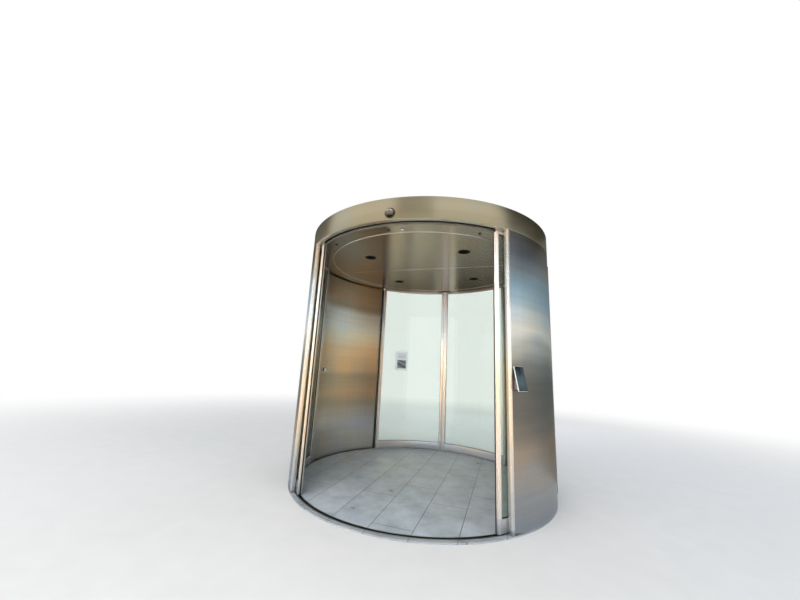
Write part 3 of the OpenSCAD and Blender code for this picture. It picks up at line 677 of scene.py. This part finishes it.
# Ceiling trims
# Slim polished cover strips over the round joint and over the straight joint between the
# half pans, and a grey felt strip up the inner edge of the slot.
trim_w = 0.008
trim_t = 0.004
strip_t = 0.0015
trim_over = 0.001
(_, pan_r), _, (ceiling_z, _) = reach("front_ceiling")
trim_steel = brushed_steel("polished_trim", [(2.43, "#fbf4e6"), (2.47, "#fbf4e6")], "level", 0.22,
                           0.0, 0.0, 0.3, 0.7)
ring_trim = spun_bar("round_trim", pan_r + trim_over, ceiling_z - trim_t, trim_w, trim_t, 0, 360)
middle_trim = drawn_bar("middle_trim", (-pan_r, 0, ceiling_z - strip_t / 2), (0, math.pi / 2, 0),
                        strip_t, trim_w, (2 * pan_r, 0, 0))
fit_out(joined("ceiling_trims", [ring_trim, middle_trim]), trim_steel, "ceiling_ring", 0.0012)
(_, slot_r), _, (_, _) = reach("ceiling_ring")
felt_t = 0.0012
felt_h = 0.0245
felt_rise = 0.0005
grey_felt = mottled("grey_felt", "#57554e", "#65635b", 500.0, 0.95)
felt = spun_bar("slot_felt", slot_r + felt_t / 2, ceiling_z + felt_rise, felt_t, felt_h, 0, 360)
fit_out(felt, grey_felt, "ceiling_ring")

# Lamps
# Deep matt black cans behind round openings in the ceiling, each with a thin bezel, three
# baffle rings and a frosted lens. They are switched off.
_, lamp_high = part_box("downlights")
flange_r = 0.0677
baffle_r = 0.052
baffle_step = 0.016
baffle_taper = 0.003
baffle_w = 0.004
baffle_t = 0.003
bezel_r = 0.0605
bezel_w = 0.011
bezel_t = 0.001
lens_r = 0.046
lens_t = 0.006
lens_rise = 0.066
lamp_at = lamp_high[0] - flange_r
lamp_spots = [Matrix.Translation((x * lamp_at, y * lamp_at, 0)) for x in (-1, 1) for y in (-1, 1)]
can_black = mottled("matt_black_lamp_can", "#0d0d0d", "#1b1b1a", 260.0, 0.75)
dress("downlights", can_black)
baffles = [
    spun_bar("baffle", baffle_r - baffle_taper * step, ceiling_z + (step + 0.5) * baffle_step,
             baffle_w, baffle_t, 0, 360)
    for step in range(3)]
baffles.append(spun_bar("bezel", bezel_r, ceiling_z - bezel_t, bezel_w, bezel_t, 0, 360))
fit_out(copies(joined("baffles", baffles), "lamp_baffles", lamp_spots), can_black, "downlights")
lens = round_button("lens", lens_r, lens_t, 0.0015)
lens.data.transform(Matrix.Translation((0, 0, ceiling_z + lens_rise)) @ Matrix.Rotation(math.pi, 4, "X"))
frosted = mottled("frosted_lens", "#c9cac6", "#dcdcd8", 300.0, 0.6)
fit_out(copies(lens, "lamp_lenses", lamp_spots), frosted, "downlights", 0.0008)

# Presence sensors
# Small round covers of black plastic in the outer ring and a long one above the inner
# leaves, each with a dark lens. One of them carries a white cap.
sensor_plastic = mottled("black_sensor_plastic", "#141414", "#222222", 900.0, 0.3)
dress("presence_sensors", sensor_plastic)
sensor_gloss = mottled("dark_red_lens", "#1c0d0e", "#2a1213", 60.0, 0.08)
sensor_drop = 0.005
sensor_z = ceiling_z - sensor_drop
sensor_r = 1.235
sensor_angles = (-36.7, -3.2, 3.2, 36.7, 143.3, 216.7)
sensor_lens = round_button("sensor_lens", 0.007, 0.0012, 0.0005, 24)
sensor_spots = [
    Matrix.Translation((sensor_r * math.sin(turn), -sensor_r * math.cos(turn), sensor_z))
    @ Matrix.Rotation(math.pi, 4, "X") for turn in map(math.radians, sensor_angles)]
fit_out(copies(sensor_lens, "sensor_lenses", sensor_spots), sensor_gloss, "presence_sensors", 0.0003)
cap = round_button("sensor_cap", 0.0145, 0.003, 0.001, 32)
cap.data.transform(sensor_spots[2])
fit_out(cap, mottled("white_plastic", "#f1f0ec", "#fafaf7", 200.0, 0.3), "presence_sensors", 0.0006)
window_t = 0.001
window_w = 0.018
window_drop = 0.014
window_start, window_stop = 176.6, 183.4
window = spun_bar("long_window", sensor_r, ceiling_z - window_drop - window_t, window_w, window_t,
                  window_start, window_stop)
fit_out(window, sensor_gloss, "presence_sensors", 0.0003)

# Motion sensors
# A dark bronze base plate on the fascia and a smoked mirror dome over the detector, with
# painted shade at its foot and its top and a painted highlight in a band above its middle.
bronze = mottled("bronze_base_plate", "#4d473c", "#5e574a", 60.0, 0.3, 1.0)
finished("motion_sensor_bases", bronze, 0.0015)
material, tree, where = new_material("smoked_mirror_plastic")
dome_low, dome_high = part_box("motion_sensor_domes")
spot = add(tree, "ShaderNodeSeparateXYZ", {0: where}).outputs
haze = add(tree, "ShaderNodeTexNoise", {"Vector": where, "Scale": 25.0, "Detail": 3.0}).outputs["Fac"]
rise = add(tree, "ShaderNodeMapRange", {
    "Value": spot["Z"], "From Min": dome_low[2], "From Max": dome_high[2],
    "To Min": -0.08, "To Max": 0.92})
rise = add(tree, "ShaderNodeMath", {0: haze, 1: 0.16, 2: rise.outputs[0]}, operation="MULTIPLY_ADD")
tone = add(tree, "ShaderNodeValToRGB", {"Fac": rise.outputs[0]})
# Painted shade at the foot and top of the dome, and a painted highlight between.
set_stops(tone, [(0.06, "#2b221a"), (0.22, "#75695d"), (0.45, "#8a8378"), (0.62, "#c3bdb2"),
                 (0.78, "#8c877d"), (0.94, "#38352c")])
dome = add(tree, "ShaderNodeBsdfPrincipled", {
    "Base Color": tone.outputs[0], "Metallic": 1.0, "Roughness": 0.1})
add(tree, "ShaderNodeOutputMaterial", {"Surface": dome.outputs[0]})
finished("motion_sensor_domes", material, 0.0004, 60)

# Card reader
# A slim slab of pale anodised aluminium that leans out at its foot, with dark glass let into
# its front and a darker die-cast wedge behind it. The wedge is painted paler low down as light
# from the floor and darker above as shade, and the slab's underside takes the wedge's darker
# finish as painted shade.
slab_t = 0.0125
reader_mid = 1.16
anodised = mottled("pale_anodised_aluminium", "#eff3f6", "#fafcfd", 700.0, 0.35, 0.5)
# Paler low down as painted light from the floor, darker above as painted shade.
cast = brushed_steel("diecast_housing", [
    (1.06, "#b3a9b1"), (1.13, "#a49ba2"), (1.16, "#6b6064"), (1.26, "#574d50")],
    "upright", 0.4, 0.0, 0.0, 0.0, 0.7)
reader = finished("card_reader_body", anodised, 0.0008)
reader.data.materials.append(cast)
outward = Vector(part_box("card_reader_face")[1]) - Vector((0, 0, reader_mid))
outward.z = 0
front = max((face for face in frame["nodes"]["card_reader_face"].data.polygons
             if face.normal.dot(outward.normalized()) > 0.5), key=lambda face: face.area)
# The underside takes the wedge's darker finish as painted shade.
for face in reader.data.polygons:
    if (front.center - face.center).dot(front.normal) > slab_t or face.normal.z < -0.4:
        face.material_index = 1
material, tree, where = new_material("dark_reader_glass")
smears = add(tree, "ShaderNodeTexNoise", {"Vector": where, "Scale": 30.0, "Detail": 4.0}).outputs["Fac"]
gloss = add(tree, "ShaderNodeMapRange", {"Value": smears, "To Min": 0.03, "To Max": 0.16})
height = add(tree, "ShaderNodeSeparateXYZ", {0: where}).outputs["Z"]
rise = add(tree, "ShaderNodeMapRange", {"Value": height, "From Min": 1.07, "From Max": 1.25})
tone = add(tree, "ShaderNodeValToRGB", {"Fac": rise.outputs[0]})
set_stops(tone, [(0, "#1d2a2c"), (0.3, "#2b4148"), (0.7, "#233139"), (1, "#161c26")])
pane = add(tree, "ShaderNodeBsdfPrincipled", {
    "Base Color": tone.outputs[0], "Roughness": gloss.outputs[0], "IOR": 1.52,
    "Specular IOR Level": 0.35})
add(tree, "ShaderNodeOutputMaterial", {"Surface": pane.outputs[0]})
finished("card_reader_face", material, 0.0008)

# Release switch
# A turned steel plate and push knob on the left wall. The knob's grip and the collar behind
# it are black rubber, and their black also stands in as painted shade round the knob.
collar_from = 0.0065
collar_to = 0.0262
switch_steel = brushed_steel("switch_steel", [(1.0, "#f1f2f0"), (1.2, "#f6f7f6")], "upright", 0.24,
                             0.0, 0.0, 0.3, 0.5, 0.02)
switch = finished("release_switch", switch_steel, 0.0008)
switch.data.materials.append(mottled("black_rubber_and_painted_shade", "#161615", "#262624", 120.0, 0.6))
switch_low, switch_high = (Vector(corner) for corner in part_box("release_switch"))
switch_mid = (switch_low + switch_high) / 2
switch_way = Vector((-switch_mid.x, -switch_mid.y, 0)).normalized()
switch_root = switch_mid + switch_way * (-(switch_high.x - switch_low.x) / 2)
# The knob's grip and collar are black: rubber, and painted shade round the knob.
for face in switch.data.polygons:
    out = (face.center - switch_root).dot(switch_way)
    if collar_from < out < collar_to:
        face.material_index = 1

# Side channels
# Upright channels of brushed stainless sheet, one on each side of the drum, with a pocket
# along their length and a rubber gasket on each face of it.
channel_steel = brushed_steel("channel_steel", [
    (0.0, "#8b8d8e"), (1.2, "#9c9d9b"), (2.4, "#838482")], "upright", 0.32)
finished("facade_channels", channel_steel, 0.0008)
black_rubber = mottled("black_rubber", "#101112", "#232425", 18.0, 0.55, 0.0, 5.0)
channel_low, channel_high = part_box("facade_channels")
pocket_half = 0.016
gasket_t = 0.005
gasket_in = 0.012
gasket_l = 0.014
gasket_x = channel_high[0] - gasket_in
gasket_y = pocket_half - gasket_t / 2
channel_y = (channel_low[1] + channel_high[1]) / 2
strips = [
    drawn_bar("strip", (side_x * gasket_x, channel_y + side_y * gasket_y, channel_low[2]), (0, 0, 0),
              gasket_l, gasket_t, (0, 0, channel_high[2] - channel_low[2]))
    for side_x in (-1, 1) for side_y in (-1, 1)]
fit_out(joined("channel_gaskets", strips), black_rubber, "facade_channels", 0.0015)

# Leaves
# Bright satin stainless frames round bent glass, clear with a faint green tint. Rubber fills
# the leading stile and a flap trails behind. Zinc plated carriages with four rollers each
# hang them in the track. The bands of tone up the frames are painted reflections of paving,
# street and sky.
# Painted reflections in bands up the frames.
leaf_steel = brushed_steel("leaf_steel", [
    (0.012, "#a3a8ae"), (0.115, "#bbc0c6"), (0.13, "#d5d3cf"), (0.35, "#dcd7d0"), (0.6, "#e9ddd0"),
    (0.85, "#f0e1d0"), (1.1, "#efe2d0"), (1.4, "#f6f0e5"), (1.7, "#f6f9f9"), (2.0, "#eff2f3"),
    (2.3, "#ece2d8"), (2.45, "#dccfc2")], "upright", 0.24, 0.1, 0.0, 0.7, 0.5, 0.02)
carriage_zinc = mottled("zinc_plated_steel", "#8d9296", "#a7acb0", 60.0, 0.4, 1.0, 4.0)
material, tree, where = new_material("clear_bent_glass")
wiped = add(tree, "ShaderNodeTexNoise", {
    "Vector": where, "Scale": 7.0, "Detail": 5.0, "Roughness": 0.7}).outputs["Fac"]
clean = add(tree, "ShaderNodeMapRange", {
    "Value": wiped, "From Min": 0.5, "From Max": 0.8, "To Min": 0.0, "To Max": 0.05})
tone = add(tree, "ShaderNodeMix", {0: wiped, 6: linear("#e2eee6"), 7: linear("#e9f3ec")},
           data_type="RGBA")
glass = add(tree, "ShaderNodeBsdfPrincipled", {
    "Base Color": tone.outputs[2], "Roughness": clean.outputs[0], "IOR": 1.5, "Transmission Weight": 1.0})
passed = add(tree, "ShaderNodeBsdfTransparent", {"Color": linear("#e6efe9")})
shadow = add(tree, "ShaderNodeLightPath").outputs["Is Shadow Ray"]
surface = add(tree, "ShaderNodeMixShader", {0: shadow, 1: glass.outputs[0], 2: passed.outputs[0]})
add(tree, "ShaderNodeOutputMaterial", {"Surface": surface.outputs[0]})
for place in ("front_left", "front_right", "back_left", "back_right"):
    finished(place + "_leaf_frame", leaf_steel, 0.001, 25)
    dress(place + "_leaf_glass", material)
    finished(place + "_leaf_seals", black_rubber, 0.001, 25)
    dress(place + "_leaf_carriages", carriage_zinc)

# Glazing gaskets, seal clips and pile brushes
# A black rubber gasket runs round the glass on both faces of each leaf. Thin steel clips hold
# the rubber of the leading edge, and a black pile brush closes the gap above the floor.
glass_bite = 0.012
gasket_w = 0.0045
gasket_out = 0.0025
clip_t = 0.001
clip_short = 0.003
clip_radii = (1.3268, 1.3436)
clip_bite_a = 0.08
brush_t = 0.008
brush_h = 0.0056
brush_foot = 0.0128
brush_short_a = 0.6
pile = mottled("black_brush_pile", "#0f0f10", "#242425", 1500.0, 0.9)
for place in ("front_left", "front_right", "back_left", "back_right"):
    node = place + "_leaf_glass"
    (glass_in, glass_out), (first, last), (glass_foot, glass_top) = reach(node)
    bite_a = math.degrees(glass_bite / glass_out)
    strip_a = math.degrees(gasket_w / glass_out)
    foot = glass_foot + glass_bite
    tall = glass_top - glass_bite - foot
    strips = []
    for radius in (glass_in - gasket_out / 2, glass_out + gasket_out / 2):
        for z in (foot, foot + tall - gasket_w):
            strips.append(spun_bar(
                "gasket", radius, z, gasket_out, gasket_w, first + bite_a, last - bite_a))
        for angle in (first + bite_a + strip_a / 2, last - bite_a - strip_a / 2):
            turn = math.radians(angle)
            spot = (radius * math.sin(turn), -radius * math.cos(turn), foot)
            strips.append(drawn_bar(
                "gasket", spot, (0, 0, turn - math.pi / 2), gasket_out, gasket_w, (0, 0, tall)))
    fit_out(joined(place + "_leaf_gaskets", strips), black_rubber, place + "_leaf_seals", 0.0006)
    _, (first, last), _ = reach(place + "_leaf_frame")
    _, (seal_first, seal_last), (seal_foot, seal_top) = reach(place + "_leaf_seals")
    if place in ("front_right", "back_left"):
        edge_start, edge_stop = seal_first + clip_bite_a, first
    else:
        edge_start, edge_stop = last, seal_last - clip_bite_a
    clips = [
        spun_bar("clip", radius, seal_foot + clip_short, clip_t, seal_top - seal_foot - 2 * clip_short,
                 edge_start, edge_stop)
        for radius in clip_radii]
    fit_out(joined(place + "_leaf_clips", clips), leaf_steel, place + "_leaf_frame", 0.0002)
    brush = spun_bar(place + "_leaf_brush", (glass_in + glass_out) / 2, brush_foot, brush_t, brush_h,
                     first + brush_short_a, last - brush_short_a)
    fit_out(brush, pile, place + "_leaf_seals")

# Notice
# A sheet of A4 paper taped to the inside of the left inner leaf's glass: pale ruled bars over
# a plain grey panel, with nothing to read on it.
sheet_start, sheet_stop = 204.5, 213.2
sheet_foot, sheet_tall = 1.155, 0.297
paper_t = 0.0003
paper_gap = 0.0005
(glass_in, _), _, _ = reach("back_left_leaf_glass")
notice = spun_bar("paper_notice", glass_in - paper_gap, sheet_foot, paper_t, sheet_tall,
                  sheet_start, sheet_stop)
material, tree, where = new_material("plain_office_paper")
spot = add(tree, "ShaderNodeSeparateXYZ", {0: where}).outputs
across = add(tree, "ShaderNodeMath", {0: spot["Y"], 1: spot["X"]}, operation="ARCTAN2")
u = add(tree, "ShaderNodeMapRange", {
    "Value": across.outputs[0], "From Min": math.radians(sheet_start - 90),
    "From Max": math.radians(sheet_stop - 90)}).outputs[0]
v = add(tree, "ShaderNodeMapRange", {
    "Value": spot["Z"], "From Min": sheet_foot, "From Max": sheet_foot + sheet_tall}).outputs[0]
panel_u = add(tree, "ShaderNodeMath", {0: u, 1: 0.5, 2: 0.34}, operation="COMPARE")
panel_v = add(tree, "ShaderNodeMath", {0: v, 1: 0.33, 2: 0.215}, operation="COMPARE")
panel = add(tree, "ShaderNodeMath", {0: panel_u.outputs[0], 1: panel_v.outputs[0]}, operation="MULTIPLY")
swirl = add(tree, "ShaderNodeTexWave", {"Vector": where, "Scale": 6.0, "Distortion": 7.0, "Detail": 1.0},
            wave_type="RINGS")
ink = add(tree, "ShaderNodeMix", {0: swirl.outputs["Fac"], 6: linear("#69757a"), 7: linear("#a7b0b3")},
          data_type="RGBA")
ruled = add(tree, "ShaderNodeMath", {0: v, 1: 95.0}, operation="MULTIPLY")
ruled = add(tree, "ShaderNodeMath", {0: ruled.outputs[0]}, operation="SINE")
ruled = add(tree, "ShaderNodeMath", {0: ruled.outputs[0], 1: 0.2}, operation="GREATER_THAN")
bars_v = add(tree, "ShaderNodeMath", {0: v, 1: 0.77, 2: 0.15}, operation="COMPARE")
bars_u = add(tree, "ShaderNodeMath", {0: u, 1: 0.47, 2: 0.33}, operation="COMPARE")
bars = add(tree, "ShaderNodeMath", {0: bars_v.outputs[0], 1: bars_u.outputs[0]}, operation="MULTIPLY")
bars = add(tree, "ShaderNodeMath", {0: bars.outputs[0], 1: ruled.outputs[0]}, operation="MULTIPLY")
page = add(tree, "ShaderNodeMix", {0: bars.outputs[0], 6: linear("#f4fbff"), 7: linear("#c3cad8")},
           data_type="RGBA")
page = add(tree, "ShaderNodeMix", {0: panel.outputs[0], 6: page.outputs[2], 7: ink.outputs[2]},
           data_type="RGBA")
paper = add(tree, "ShaderNodeBsdfPrincipled", {"Base Color": page.outputs[2], "Roughness": 0.85})
passed = add(tree, "ShaderNodeBsdfTranslucent", {"Color": page.outputs[2]})
sheet = add(tree, "ShaderNodeMixShader", {0: 0.65, 1: paper.outputs[0], 2: passed.outputs[0]})
add(tree, "ShaderNodeOutputMaterial", {"Surface": sheet.outputs[0]})
notice.data.materials.append(material)
select_only(notice)
bpy.ops.object.shade_smooth_by_angle(angle=math.radians(35))
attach(notice, "back_left_leaf")
